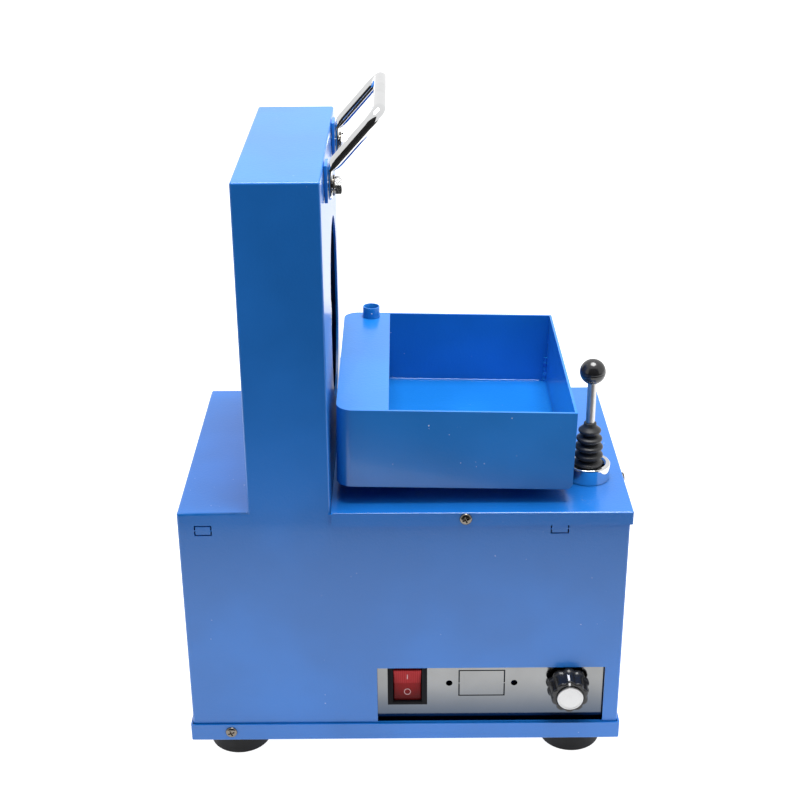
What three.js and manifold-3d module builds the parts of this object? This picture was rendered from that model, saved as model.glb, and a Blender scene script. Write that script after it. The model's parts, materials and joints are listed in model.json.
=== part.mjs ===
// A small bench cabbing machine: a sheet-metal body with a tall belt tower on its left, a lap disc that turns
// behind a window in the tower's right face, a lift-out water tray in front of that window, a joystick on the
// deck, a control panel in the front and a carrying handle at the top. Lengths are millimetres and +Z is up.
// Pieces are placed from the body's left side (x), its front face (y) and the underside of its base pan (z);
// the whole group then moves so that the origin is at the middle of the machine's footprint, on the table.
import * as THREE from "three";
import { mergeVertices } from "three/addons/utils/BufferGeometryUtils.js";
import Module from "manifold-3d";

const wasm = await Module();
wasm.setup();

// ---- driving dimensions ----
const bodyWidth = 275;
const bodyDepth = 181.6;
const deckHeight = 168;
const towerLeft = 43.5;
const towerRight = 93.3;
const towerHeight = 373;
const bodySheet = 1.5; // wall of the casing
const coverSheet = 1.2; // wall of the pan, the deck cover and the tower cover
const gap = 0.3; // left between pieces that touch
const panFlange = 12.2; // height of the pan's upstanding edge
const flangeReach = gap + coverSheet; // how far pan and deck cover stand proud of the body
const deckFlange = 9; // depth of the deck cover's turned-down edge
const footHeight = 14;
const footInset = [28, 22]; // foot centres from the body's side and front
const window = { left: 119.8, right: 265.2, bottom: 12.4, top: 54.5 }; // control window in the front
const panelFace = 4; // the steel control panel stands this far behind the front face
const controlLine = 40; // height of the switch, the knock-out and the knob
const switchAt = 139.1;
const knobAt = 242;
const knobReach = 14; // the knob's cap stands this far in front of the body
const blankAt = 186.9; // middle of the knock-out in the control panel
const workWindow = { front: 75, back: 165, bottom: 195, top: 315 }; // round-ended, in the tower's right face
const spindleAt = [112, 252]; // y and z of the spindle
const motorAt = [112, 78]; // y and z of the motor
const spindlePulleyRadius = 30;
const motorPulleyRadius = 15;
const beltPlane = 75.5; // x of the middle of the belt
const beltWidth = 8;
const beltThickness = 3;
const trayCorner = [96.5, 10, 180.5]; // left, front and bottom of the tray
const traySize = [143.5, 161, 51];
const trayWall = 1.5;
const trayTilt = THREE.MathUtils.degToRad(1.3); // its right side hangs lower
const stripWidth = 30; // flat cover along the tray's left side
const joystickAt = [253.7, 45];
const joystickPivot = 158; // height of the hinge line, which runs along x
const handleLegs = [41, 142]; // y of the handle's two legs
const handleBolt = 359.5; // height of the handle's bolts
const handleRod = 4; // radius of the handle's rod
const gripAt = [125.2, 400.7]; // x and z of the grip's middle
const inletAt = [226, 44]; // x and z of the mains inlet on the back
const screwHeadHeight = 1.7;
const backReach = bodyDepth + flangeReach + screwHeadHeight; // the furthest point behind the front face

const machine = new THREE.Group();
machine.position.set(-bodyWidth / 2, (knobReach - backReach) / 2, footHeight);

// ---- finishes ----
const finish = (color, roughness, metalness) => ({ color, roughness, metalness });
const bluePaint = finish(0x1f5cb4, 0.4, 0);
const trayPaint = finish(0x2a6ccc, 0.4, 0);
const chrome = finish(0xd8dade, 0.1, 1);
const steel = finish(0xa9adb2, 0.35, 1);
const castIron = finish(0x4a4d52, 0.6, 0.6);
const aluminium = finish(0xc9ccd0, 0.4, 1);
const blackPlastic = finish(0x131416, 0.5, 0);
const blackGloss = finish(0x08090a, 0.15, 0);
const redPlastic = finish(0xc3161c, 0.3, 0);
const rubber = finish(0x17181a, 0.8, 0);
const abrasive = finish(0x1b1c1e, 0.9, 0);
const boardGreen = finish(0x1d5a34, 0.5, 0);

// ---- geometry helpers ----

function halfSpan(middle, size) {
  return [middle - size / 2, middle + size / 2];
}

// Welds a geometry into one closed surface that faces outwards.
function weld(geometry) {
  const bare = geometry.index ? geometry.toNonIndexed() : geometry;
  bare.deleteAttribute("normal");
  bare.deleteAttribute("uv");
  const merged = mergeVertices(bare, 1e-4);
  const place = merged.attributes.position;
  const corner = [new THREE.Vector3(), new THREE.Vector3(), new THREE.Vector3()];
  const faces = [];
  let volume = 0;
  for (let i = 0; i < merged.index.count; i += 3) {
    const face = [0, 1, 2].map((k) => merged.index.getX(i + k));
    if (new Set(face).size < 3) continue;
    faces.push(face);
    face.forEach((vertex, k) => corner[k].fromBufferAttribute(place, vertex));
    volume += corner[0].dot(corner[1].cross(corner[2]));
  }
  if (volume < 0) faces.forEach((face) => face.reverse());
  merged.setIndex(faces.flat());
  return merged;
}

function toSolid(geometry) {
  const welded = weld(geometry);
  return new wasm.Manifold(
    new wasm.Mesh({
      numProp: 3,
      vertProperties: new Float32Array(welded.attributes.position.array),
      triVerts: new Uint32Array(welded.index.array),
    }),
  );
}

function toGeometry(solid) {
  const { vertProperties, triVerts } = solid.getMesh();
  const geometry = new THREE.BufferGeometry();
  geometry.setAttribute("position", new THREE.BufferAttribute(vertProperties, 3));
  geometry.setIndex(new THREE.BufferAttribute(triVerts, 1));
  return geometry;
}

function join(...geometries) {
  return toGeometry(geometries.map(toSolid).reduce((all, one) => all.add(one)));
}

function carve(body, ...cutters) {
  return toGeometry(cutters.map(toSolid).reduce((rest, cutter) => rest.subtract(cutter), toSolid(body)));
}

function block([x0, x1], [y0, y1], [z0, z1]) {
  const box = new THREE.BoxGeometry(x1 - x0, y1 - y0, z1 - z0);
  return box.translate((x0 + x1) / 2, (y0 + y1) / 2, (z0 + z1) / 2);
}

// Carries a shape made along +Z so that it points along an axis, with its foot at a place.
function aim(geometry, axis, place) {
  const straight = new THREE.Vector3(0, 0, 1);
  const turn = new THREE.Quaternion().setFromUnitVectors(straight, new THREE.Vector3(...axis));
  return geometry.applyQuaternion(turn).translate(...place);
}

// A turned piece: the profile gives [radius, distance along the axis] and starts and ends on the axis or on
// itself.
function turned(profile, axis, place, sides = 24) {
  const points = profile.map(([radius, along]) => new THREE.Vector2(radius, along));
  return aim(new THREE.LatheGeometry(points, sides).rotateX(Math.PI / 2), axis, place);
}

function disc(radius, from, to, axis, place, sides = 24) {
  return turned([[0, from], [radius, from], [radius, to], [0, to]], axis, place, sides);
}

function ring(inner, outer, from, to, axis, place, sides = 24) {
  const profile = [[inner, from], [outer, from], [outer, to], [inner, to], [inner, from]];
  return turned(profile, axis, place, sides);
}

function polygon(corners) {
  return new THREE.Shape(corners.map(([a, b]) => new THREE.Vector2(a, b)));
}

// A flat outline in the y-z plane, stretched along x.
function alongX(outline, from, to) {
  const plane = new THREE.Matrix4().makeBasis(
    new THREE.Vector3(0, 1, 0),
    new THREE.Vector3(0, 0, 1),
    new THREE.Vector3(1, 0, 0),
  );
  const shape = outline instanceof THREE.Shape ? outline : polygon(outline);
  const options = { depth: to - from, bevelEnabled: false, curveSegments: 12 };
  return new THREE.ExtrudeGeometry(shape, options).applyMatrix4(plane).translate(from, 0, 0);
}

// A slot with round ends above and below.
function slotOutline({ front, back, bottom, top }) {
  const radius = (back - front) / 2;
  const shape = new THREE.Shape();
  shape.moveTo(back, bottom + radius);
  shape.lineTo(back, top - radius);
  shape.absarc(front + radius, top - radius, radius, 0, Math.PI, false);
  shape.lineTo(front, bottom + radius);
  shape.absarc(front + radius, bottom + radius, radius, Math.PI, 2 * Math.PI, false);
  return shape;
}

// A tube along a curve.
function tube(curve, radius, steps, sides = 12) {
  const circle = new THREE.EllipseCurve(0, 0, radius, radius).getPoints(sides);
  const section = new THREE.Shape(circle.slice(0, -1));
  return new THREE.ExtrudeGeometry(section, { steps, extrudePath: curve, bevelEnabled: false });
}

// Laser-cut outline of a knock-out in a sheet that faces -Y: two half loops that leave a small bridge on each
// side.
function knockOutCut([x0, x1], [z0, z1], depth) {
  const kerf = 0.8;
  const bridge = 0.6;
  const middle = (z0 + z1) / 2;
  const cuts = [
    block([x0, x1], depth, [z0, z0 + kerf]),
    block([x0, x1], depth, [z1 - kerf, z1]),
  ];
  for (const x of [x0, x1 - kerf]) {
    cuts.push(block([x, x + kerf], depth, [z0, middle - bridge / 2]));
    cuts.push(block([x, x + kerf], depth, [middle + bridge / 2, z1]));
  }
  return join(...cuts);
}

function add(name, geometry, look, parent = machine) {
  const mesh = new THREE.Mesh(weld(geometry), new THREE.MeshStandardMaterial(look));
  mesh.name = name;
  parent.add(mesh);
}

// ---- screws: where each head sits on its sheet, and which way it faces ----
const front = [0, -1, 0];
const back = [0, 1, 0];
const left = [-1, 0, 0];
const right = [1, 0, 0];
const panScrewLine = 6.6;
const deckScrewLine = 163.8;
const screws = [
  ["pan_screw_front", [24.6, -flangeReach, panScrewLine], front],
  ["pan_screw_back", [24.6, bodyDepth + flangeReach, panScrewLine], back],
  ["pan_screw_left", [-flangeReach, 90, panScrewLine], left],
  ["pan_screw_right", [bodyWidth + flangeReach, 90, panScrewLine], right],
  ["deck_screw_front", [175, -flangeReach, deckScrewLine], front],
  ["deck_screw_right", [bodyWidth + flangeReach, 50, deckScrewLine], right],
  ["cover_screw_upper", [68.4, bodyDepth + flangeReach, 352], back],
  ["cover_screw_lower", [68.4, bodyDepth + flangeReach, 186], back],
];
const screwShank = 1.5;
const screwHoles = screws.map(([, place, axis]) => disc(screwShank + gap, -4, 1, axis, place, 10));

for (const [name, place, axis] of screws) {
  const shank = [[0, -3.5], [screwShank, -3.5], [screwShank, gap]];
  const profile = [...shank, [3.5, gap], [3.2, 1], [1.9, 1.5], [0, screwHeadHeight]];
  add(name, turned(profile, axis, place, 12), steel);
}

// ---- casing: one welded shell, open at the bottom, with the tower rising from it ----
function casing() {
  const lipTop = deckHeight - coverSheet - gap;
  const outside = join(
    block([0, towerRight], [0, bodyDepth], [flangeReach, deckHeight]),
    block([0, bodyWidth], [0, bodyDepth], [flangeReach, lipTop]),
    block([towerLeft, towerRight], [0, bodyDepth], [flangeReach, towerHeight]),
  );
  const depth = [bodySheet, bodyDepth - bodySheet];
  const inside = join(
    block([bodySheet, towerRight - bodySheet], depth, [0, deckHeight - bodySheet]),
    block([bodySheet, bodyWidth - bodySheet], depth, [0, lipTop - bodySheet]),
    block([towerLeft + bodySheet, towerRight - bodySheet], depth, [0, towerHeight - bodySheet]),
  );
  const sheetFront = [-1, bodySheet + 0.5];
  const sheetBack = [bodyDepth - bodySheet - 0.5, bodyDepth + 1];
  const openings = [
    // under the deck cover
    block([towerRight + 12, bodyWidth - 5], [12, bodyDepth - 12], [lipTop - 5, lipTop + 5]),
    block([window.left, window.right], sheetFront, [window.bottom, window.top]),
    alongX(slotOutline(workWindow), towerRight - 3, towerRight + 1),
    block([54, 83], sheetBack, [195, 343]), // behind the tower cover
    block(halfSpan(inletAt[0], 28.4), sheetBack, halfSpan(inletAt[1], 24)),
    knockOutCut([10.1, 20.8], [152.4, 159.4], sheetFront),
    knockOutCut([226.7, 237.9], [152.4, 159.4], sheetFront),
    ...handleLegs.map((y) => disc(3.4, -5, 1, right, [towerRight, y, handleBolt], 14)),
  ];
  for (let i = 0; i < 8; i += 1) {
    const x = 110 + 12 * i; // cooling slots behind the motor
    openings.push(block([x, x + 3], sheetBack, [84, 132]));
  }
  return carve(outside, inside, ...openings, ...screwHoles);
}
add("casing", casing(), bluePaint);

// ---- base pan, deck cover and tower cover ----
const outerRight = bodyWidth + flangeReach;
const outerBack = bodyDepth + flangeReach;
const flangeDepth = [-flangeReach, outerBack];
const insideFlanges = [-gap, bodyDepth + gap];
const basePan = carve(
  block([-flangeReach, outerRight], flangeDepth, [0, panFlange]),
  block([-gap, bodyWidth + gap], insideFlanges, [coverSheet, panFlange + 1]),
  ...screwHoles,
);
add("base_pan", basePan, bluePaint);

const deckLeft = towerRight + gap;
const deckCover = carve(
  block([deckLeft, outerRight], flangeDepth, [deckHeight - deckFlange, deckHeight]),
  block([deckLeft - 1, bodyWidth + gap], insideFlanges, [0, deckHeight - coverSheet]),
  disc(11.5, deckHeight - 5, deckHeight + 5, [0, 0, 1], [...joystickAt, 0]),
  ...screwHoles,
);
add("deck_cover", deckCover, bluePaint);

const towerCover = block([47.5, 89.3], [bodyDepth + gap, outerBack], [180, 358]);
add("tower_cover", carve(towerCover, ...screwHoles), bluePaint);

for (const [side, x] of [["left", footInset[0]], ["right", bodyWidth - footInset[0]]]) {
  for (const [end, y] of [["front", footInset[1]], ["rear", bodyDepth - footInset[1]]]) {
    const foot = [[0, -footHeight], [18.5, -footHeight], [20, 2 - footHeight], [21, -gap], [0, -gap]];
    add(`foot_${end}_${side}`, turned(foot, [0, 0, 1], [x, y, 0]), rubber);
  }
}

// ---- control panel, rocker switch and speed knob ----
const switchSize = [25.4, 31]; // bezel
const rockerSize = [17.7, 25];
const switchHole = [22, 27.6];
const panelBack = panelFace + bodySheet;
const panelOutline = [
  [panelFace, flangeReach], [24, flangeReach], [24, 2 * flangeReach], [panelBack, 2 * flangeReach],
  [panelBack, 64], [panelFace, 64],
];
const panelDepth = [panelFace - 1, panelBack + 1];
const controlPanel = carve(
  alongX(panelOutline, 113, 270),
  block(
    halfSpan(switchAt, switchHole[0] + 2 * gap),
    panelDepth,
    halfSpan(controlLine, switchHole[1] + 2 * gap),
  ),
  knockOutCut(halfSpan(blankAt, 29.9), halfSpan(controlLine, 20), panelDepth),
  disc(2.15, -1, 3, back, [blankAt - 20.9, panelFace, controlLine], 16),
  disc(2.15, -1, 3, back, [blankAt + 20.9, panelFace, controlLine], 16),
  disc(4.6, -1, 3, back, [knobAt, panelFace, controlLine], 16),
);
add("control_panel", controlPanel, steel);

const bezelFace = panelFace - 2;
const rockerPivot = bezelFace + 8; // y of the rocker's hinge line
const switchHousing = carve(
  join(
    block(
      halfSpan(switchAt, switchSize[0]),
      [bezelFace, panelFace - gap],
      halfSpan(controlLine, switchSize[1]),
    ),
    block(
      halfSpan(switchAt, switchHole[0]),
      [bezelFace, panelFace + 26],
      halfSpan(controlLine, switchHole[1]),
    ),
  ),
  block(
    halfSpan(switchAt, rockerSize[0] + 2 * gap),
    [bezelFace - 1, rockerPivot + 8],
    halfSpan(controlLine, rockerSize[1] + 1.4),
  ),
);
add("switch_housing", switchHousing, blackPlastic);

const rockerThrow = THREE.MathUtils.degToRad(12);

// The rocker's face is a shallow V; at rest its lower half is pressed in.
function rocker() {
  const half = rockerSize[1] / 2;
  const outline = [[-4.8, 0], [-7.4, half], [-3, half], [3, 5], [3, -5], [-3, -half], [-7.4, -half]];
  const [x0, x1] = halfSpan(0, rockerSize[0]);
  return alongX(outline, x0, x1).rotateX(rockerThrow / 2).translate(switchAt, rockerPivot, controlLine);
}
add("switch_rocker", rocker(), redPlastic);

const potentiometer = join(
  disc(12, panelBack + gap, panelBack + 12, back, [knobAt, 0, controlLine], 20),
  disc(4.3, panelFace - 1.5, panelBack + 1, back, [knobAt, 0, controlLine], 16),
);
const potShaftHole = disc(3.4, -5, panelBack + 10, back, [knobAt, 0, controlLine], 16);
add("potentiometer", carve(potentiometer, potShaftHole), aluminium);
const potShaft = disc(3, -knobReach + 5, panelBack + 9, back, [knobAt, 0, controlLine], 16);
add("potentiometer_shaft", potShaft, aluminium);

const knobProfile = [
  [3.3, 1], [13.8, 1], [13.8, -2.5], [12.2, -3.5], [11.5, -12.5], [0, -12.5], [0, -9.4], [3.3, -9.4],
  [3.3, 1],
];
add("speed_knob", turned(knobProfile, back, [knobAt, 0, controlLine], 28), blackPlastic);
const capFrom = -knobReach;
add("knob_cap", disc(8.5, capFrom, -12.5 - gap, back, [knobAt, 0, controlLine], 24), aluminium);

// ---- joystick: collar on the deck, housing below it, pivot pin, lever and ball ----
const up = [0, 0, 1];
const stick = [...joystickAt, 0];
const collarTop = 178.5;
const collar = [
  [8.8, deckHeight + gap], [13.8, deckHeight + gap], [13.8, 171.5], [12.6, 172.5], [12.6, 177.5],
  [11.6, collarTop], [8.8, collarTop], [8.8, deckHeight + gap],
];
add("joystick_collar", turned(collar, up, stick, 32), chrome);

const housingTop = deckHeight - coverSheet - gap;
const [stickX, stickY] = joystickAt;
const pivotLine = [stickX, stickY, joystickPivot];
const pinRadius = 2;
const joystickHousing = carve(
  block([stickX - 16, stickX + 16], [stickY - 20, stickY + 20], [130, housingTop]),
  block([stickX - 9, stickX + 9], [stickY - 16, stickY + 16], [134, housingTop + 1]),
  disc(pinRadius + gap, -17, 17, right, pivotLine, 12),
);
add("joystick_housing", joystickHousing, blackPlastic);
add("joystick_pivot_pin", disc(pinRadius, -15.5, 15.5, right, pivotLine, 12), steel);

const ballCentre = 240;
const ballRadius = 8;
const lever = join(
  disc(2.8, 142, ballCentre - ballRadius + 1.5, up, stick, 16),
  disc(4.5, -8, 8, right, pivotLine, 20),
);
add("joystick_lever", carve(lever, disc(pinRadius + gap, -9, 9, right, pivotLine, 20)), chrome);
const ball = new THREE.SphereGeometry(ballRadius, 20, 14).rotateX(Math.PI / 2);
ball.translate(stickX, stickY, ballCentre);
const ballSocket = disc(3.1, -ballRadius - 1, 1.8 - ballRadius + 0.8, up, [stickX, stickY, ballCentre], 16);
add("joystick_ball", carve(ball, ballSocket), blackGloss);

// Rubber bellows between the collar and the lever.
function bellows() {
  const foot = collarTop + gap;
  const folds = [9.2, 8.5, 8.4, 7.6, 6.5];
  const rise = 4.9;
  const outer = folds.flatMap((radius, i) => [
    [radius - 1.7, foot + rise * i],
    [radius, foot + rise * (i + 0.5)],
  ]);
  const top = foot + rise * folds.length;
  const inner = [[3.2, top + 2.5], [3.2, top - 1], [5.4, foot], [folds[0] - 1.7, foot]];
  return turned([...outer, [4, top], [3.9, top + 2.5], ...inner], up, stick, 20);
}
add("joystick_bellows", bellows(), rubber);

// ---- water tray: tilted, with its own local axes from its bottom left front corner ----
const tray = new THREE.Group();
tray.position.set(...trayCorner);
tray.rotation.y = trayTilt;
machine.add(tray);
const [trayWidth, trayDepth, trayTall] = traySize;
const spigotAt = [18.5, 154, trayTall];

function trayShell() {
  const outline = new THREE.Shape();
  const corner = 10;
  outline.moveTo(corner, 0);
  outline.lineTo(trayWidth, 0);
  outline.lineTo(trayWidth, trayDepth);
  outline.lineTo(corner, trayDepth);
  outline.absarc(corner, trayDepth - corner, corner, Math.PI / 2, Math.PI, false);
  outline.lineTo(0, corner);
  outline.absarc(corner, corner, corner, Math.PI, 1.5 * Math.PI, false);
  const pull = { depth: trayTall, bevelEnabled: false, curveSegments: 5 };
  const shell = new THREE.ExtrudeGeometry(outline, pull);
  const basin = block(
    [stripWidth + trayWall, trayWidth - trayWall],
    [trayWall, trayDepth - trayWall],
    [trayWall, trayTall + 1],
  );
  const duct = block(
    [trayWall + 3, stripWidth],
    [trayWall + 3, trayDepth - trayWall - 3],
    [-1, trayTall - trayWall],
  );
  const bore = disc(4, trayTall - 5, trayTall + 1, up, [spigotAt[0], spigotAt[1], 0], 16);
  return carve(shell, basin, duct, bore);
}
add("water_tray", trayShell(), trayPaint, tray);
add("tray_spigot", ring(4, 6, gap, 7.5, up, spigotAt, 20), trayPaint, tray);

for (const [side, x] of [["left", 34], ["right", 124]]) {
  for (const [end, y] of [["front", 52], ["rear", 142]]) {
    const radius = 8;
    const top = trayCorner[2] - (x + radius) * Math.tan(trayTilt) - gap;
    const bumper = disc(radius, deckHeight + gap, top, up, [trayCorner[0] + x, y, 0], 20);
    add(`tray_bumper_${end}_${side}`, bumper, rubber);
  }
}

// ---- carrying handle: two tabs on the tower, a bent rod with flattened ends, and its bolts ----
const tabThickness = 2;
const plateThickness = 2;
const plateFrom = towerRight + tabThickness + 2 * gap;
const plateMiddle = plateFrom + plateThickness / 2;
const elbow = 369;

function handle() {
  const [frontLeg, rearLeg] = handleLegs;
  const [gripX, gripZ] = gripAt;
  const bend = 9;
  const rise = new THREE.Vector3(gripX - plateMiddle, 0, gripZ - elbow).normalize();
  const start = new THREE.Vector3(plateMiddle, 0, elbow).addScaledVector(rise, 7);
  const cornerFrom = new THREE.Vector3(gripX, 0, gripZ).addScaledVector(rise, -bend);
  const at = (point, y) => new THREE.Vector3(point.x, y, point.z);
  const corner = (y) => new THREE.Vector3(gripX, y, gripZ);
  const route = new THREE.CurvePath();
  route.add(new THREE.LineCurve3(at(start, frontLeg), at(cornerFrom, frontLeg)));
  const frontStart = at(cornerFrom, frontLeg);
  route.add(new THREE.QuadraticBezierCurve3(frontStart, corner(frontLeg), corner(frontLeg + bend)));
  route.add(new THREE.LineCurve3(corner(frontLeg + bend), corner(rearLeg - bend)));
  const rearEnd = at(cornerFrom, rearLeg);
  route.add(new THREE.QuadraticBezierCurve3(corner(rearLeg - bend), corner(rearLeg), rearEnd));
  route.add(new THREE.LineCurve3(rearEnd, at(start, rearLeg)));
  const pieces = [tube(route, handleRod, 44, 14)];
  for (const y of handleLegs) {
    const flat = block([plateFrom, plateFrom + plateThickness], [y - 5.5, y + 5.5], [352, elbow + 1]);
    const bent = block([-1, 1], [y - 5.2, y + 5.2], [0, 12]);
    const lean = Math.atan2(gripX - plateMiddle, gripZ - elbow);
    bent.rotateY(lean).translate(plateMiddle, 0, elbow);
    pieces.push(flat, bent);
  }
  const holes = handleLegs.map((y) => disc(3.4, -6, 6, right, [plateMiddle, y, handleBolt], 14));
  return carve(join(...pieces), ...holes);
}
add("handle", handle(), chrome);

for (const [end, y] of [["front", handleLegs[0]], ["rear", handleLegs[1]]]) {
  const tabFrom = towerRight + gap;
  const tab = block([tabFrom, tabFrom + tabThickness], [y - 8, y + 8], [351, towerHeight]);
  const boltLine = [towerRight, y, handleBolt];
  add(`handle_tab_${end}`, carve(tab, disc(3.4, -1, 4, right, boltLine, 14)), bluePaint);
  const washerFrom = plateFrom + plateThickness - towerRight + gap;
  add(`handle_washer_${end}`, ring(3.4, 6, washerFrom, washerFrom + 1.2, right, boltLine, 20), chrome);
  const headFrom = washerFrom + 1.2 + gap;
  const hexHead = disc(5.8, headFrom, headFrom + 4, right, boltLine, 6);
  const bolt = join(hexHead, disc(3, -8, headFrom + 1, right, boltLine, 12));
  add(`handle_bolt_${end}`, bolt, chrome);
}

// ---- spindle: housing and bearings on the tower's left wall; shaft, pulley, plate and lap disc turn ----
const spindle = [0, ...spindleAt];
const shaftRadius = 6;
const towerInner = towerLeft + bodySheet + gap;
const housingEnd = 66;
const bearingHousing = turned(
  [[14.3, towerInner], [30, towerInner], [30, towerInner + 4], [19, towerInner + 6], [19, housingEnd],
    [14.3, housingEnd], [14.3, towerInner]],
  right, spindle, 28,
);
add("bearing_housing", bearingHousing, castIron);
add("bearing_outer", ring(shaftRadius + gap, 14, 57.5, 65.5, right, spindle, 24), steel);
add("bearing_inner", ring(shaftRadius + gap, 14, 47, 55, right, spindle, 24), steel);

const shaftEnd = 91.2;
add("spindle_shaft", disc(shaftRadius, towerInner + 0.7, shaftEnd, right, spindle, 24), steel);

// A belt pulley: a flat groove between two thin flanges.
function pulley(radius, bore, axis, place) {
  const half = beltWidth / 2 + 1;
  const flange = 1.4;
  const rim = radius + beltThickness;
  return turned(
    [
      [bore, -half - flange], [rim, -half - flange], [rim, -half], [radius, -half], [radius, half],
      [rim, half], [rim, half + flange], [bore, half + flange], [bore, -half - flange],
    ],
    axis, place, 32,
  );
}
const spindleHub = [beltPlane, ...spindleAt];
const motorHub = [beltPlane, ...motorAt];
add("spindle_pulley", pulley(spindlePulleyRadius, shaftRadius + gap, right, spindleHub), aluminium);
add("backing_plate", ring(shaftRadius + gap, 52, 82.6, 85.6, right, spindle, 40), aluminium);
add("lap_disc", ring(shaftRadius + gap, 66, 86, 88.4, right, spindle, 48), abrasive);
const nutBlank = disc(10, 88.7, 91.2, right, spindle, 6);
add("spindle_nut", carve(nutBlank, disc(shaftRadius + gap, 88, 92, right, spindle, 24)), steel);

// ---- drive belt around both pulleys ----
function beltOutline(clearance) {
  const upper = spindlePulleyRadius + clearance;
  const lower = motorPulleyRadius + clearance;
  const span = spindleAt[1] - motorAt[1];
  const lean = Math.asin((upper - lower) / span);
  const shape = new THREE.Shape();
  shape.absarc(spindleAt[0], spindleAt[1], upper, -lean, Math.PI + lean, false);
  shape.absarc(motorAt[0], motorAt[1], lower, Math.PI + lean, 2 * Math.PI - lean, false);
  shape.closePath();
  return shape;
}
const beltSpan = halfSpan(beltPlane, beltWidth);
const belt = carve(
  alongX(beltOutline(gap + beltThickness), beltSpan[0], beltSpan[1]),
  alongX(beltOutline(gap + 0.3), beltSpan[0] - 1, beltSpan[1] + 1),
);
add("drive_belt", belt, rubber);

// ---- motor: housing, end bell, rotor, shaft, pulley and bracket ----
const motor = [0, ...motorAt];
const motorRadius = 45;
const motorFrom = 88;
const motorTo = 190;
const motorShaftRadius = 4;
const motorShell = [
  [0, motorTo - 4], [motorRadius - 3, motorTo - 4], [motorRadius - 3, motorFrom + 4 + gap],
  [motorRadius, motorFrom + 4 + gap], [motorRadius, motorTo], [0, motorTo],
];
add("motor_housing", turned(motorShell, right, motor, 32), castIron);
const endBell = ring(motorShaftRadius + gap, motorRadius, motorFrom, motorFrom + 4, right, motor, 32);
add("motor_end_bell", endBell, aluminium);
add("motor_rotor", ring(motorShaftRadius + gap, 30, 104, 174, right, motor, 24), steel);
add("motor_shaft", disc(motorShaftRadius, beltPlane - 8, 182, right, motor, 16), steel);
add("motor_pulley", pulley(motorPulleyRadius, motorShaftRadius + gap, right, motorHub), aluminium);

const cradleHalf = motorRadius + 3;
const bracket = carve(
  block(
    [108, 168],
    [motorAt[0] - cradleHalf, motorAt[0] + cradleHalf],
    [coverSheet + gap, motorAt[1] - 12],
  ),
  disc(motorRadius + gap, 100, 176, right, motor, 32),
  block([100, 176], [motorAt[0] - 30, motorAt[0] + 30], [coverSheet + gap + 4, 24]),
);
add("motor_bracket", bracket, castIron);

// ---- speed controller and mains inlet ----
const boardFront = 32;
add("controller_board", block([214, 268], [boardFront + 20, boardFront + 100], [20, 21.6]), boardGreen);
const finCount = 6;
const fins = [block([222, 260], [66, 100], [22, 25])];
for (let i = 0; i < finCount; i += 1) {
  const x = 222 + (38 - 2) * (i / (finCount - 1));
  fins.push(block([x, x + 2], [66, 100], [24, 44]));
}
add("heat_sink", join(...fins), aluminium);

const inletCentre = [inletAt[0], bodyDepth, inletAt[1]];
function mainsInlet() {
  const [x, y, z] = inletCentre;
  const shell = carve(
    join(
      block([x - 20, x + 20], [y + gap, y + 3], [z - 14, z + 14]),
      block([x - 13.8, x + 13.8], [y - 22, y + 1], [z - 11.6, z + 11.6]),
    ),
    block([x - 12, x + 12], [y - 15, y + 4], [z - 8, z + 8]),
  );
  const pins = [[-7, -2], [0, 2], [7, -2]].map(([dx, dz]) =>
    block([x + dx - 1, x + dx + 1], [y - 16, y - 5], [z + dz - 2, z + dz + 2]));
  return join(shell, ...pins);
}
add("mains_inlet", mainsInlet(), blackPlastic);

export default machine;
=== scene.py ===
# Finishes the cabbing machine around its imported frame: sheet metal, controls, joystick, tray and handle.
import json
from math import asin, atan2, cos, hypot, pi, radians, sin

import bmesh
import bpy
from mathutils import Euler, Matrix, Vector

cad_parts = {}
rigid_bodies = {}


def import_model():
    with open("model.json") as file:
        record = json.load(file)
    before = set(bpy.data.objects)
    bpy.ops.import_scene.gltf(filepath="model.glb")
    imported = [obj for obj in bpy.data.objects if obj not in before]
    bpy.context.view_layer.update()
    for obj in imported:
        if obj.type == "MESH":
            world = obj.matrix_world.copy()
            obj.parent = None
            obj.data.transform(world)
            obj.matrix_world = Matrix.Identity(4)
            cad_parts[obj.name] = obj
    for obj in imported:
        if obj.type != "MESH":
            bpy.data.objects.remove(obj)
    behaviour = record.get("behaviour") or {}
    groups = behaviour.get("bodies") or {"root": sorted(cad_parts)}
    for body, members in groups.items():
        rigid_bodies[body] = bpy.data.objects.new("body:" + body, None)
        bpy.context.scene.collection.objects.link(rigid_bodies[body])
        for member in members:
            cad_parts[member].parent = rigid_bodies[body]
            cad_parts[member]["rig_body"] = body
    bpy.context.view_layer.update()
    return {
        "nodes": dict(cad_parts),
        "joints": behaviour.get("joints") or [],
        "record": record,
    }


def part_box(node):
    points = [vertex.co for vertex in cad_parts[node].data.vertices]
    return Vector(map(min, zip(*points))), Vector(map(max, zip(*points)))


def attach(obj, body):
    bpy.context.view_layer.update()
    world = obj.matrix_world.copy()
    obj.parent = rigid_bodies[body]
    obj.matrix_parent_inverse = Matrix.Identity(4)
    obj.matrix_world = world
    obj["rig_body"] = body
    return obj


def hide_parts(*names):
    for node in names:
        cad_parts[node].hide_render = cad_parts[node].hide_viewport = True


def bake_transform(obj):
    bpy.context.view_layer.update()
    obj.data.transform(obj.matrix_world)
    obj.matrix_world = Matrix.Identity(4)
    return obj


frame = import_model()
nodes = frame["nodes"]
scene = bpy.context.scene

# The maker's own axes: millimetres from the body's left side, its front face and the base pan's underside.
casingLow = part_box("casing")[0]
home = Vector((casingLow.x, casingLow.y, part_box("base_pan")[0].z))
mm = 0.001
toFrame = Matrix.Translation(home) @ Matrix.Scale(mm, 4)
fromFrame = toFrame.inverted()


def span(node):
    # lowest and highest corner of a CAD node in the maker's axes
    low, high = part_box(node)
    return fromFrame @ low, fromFrame @ high


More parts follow.
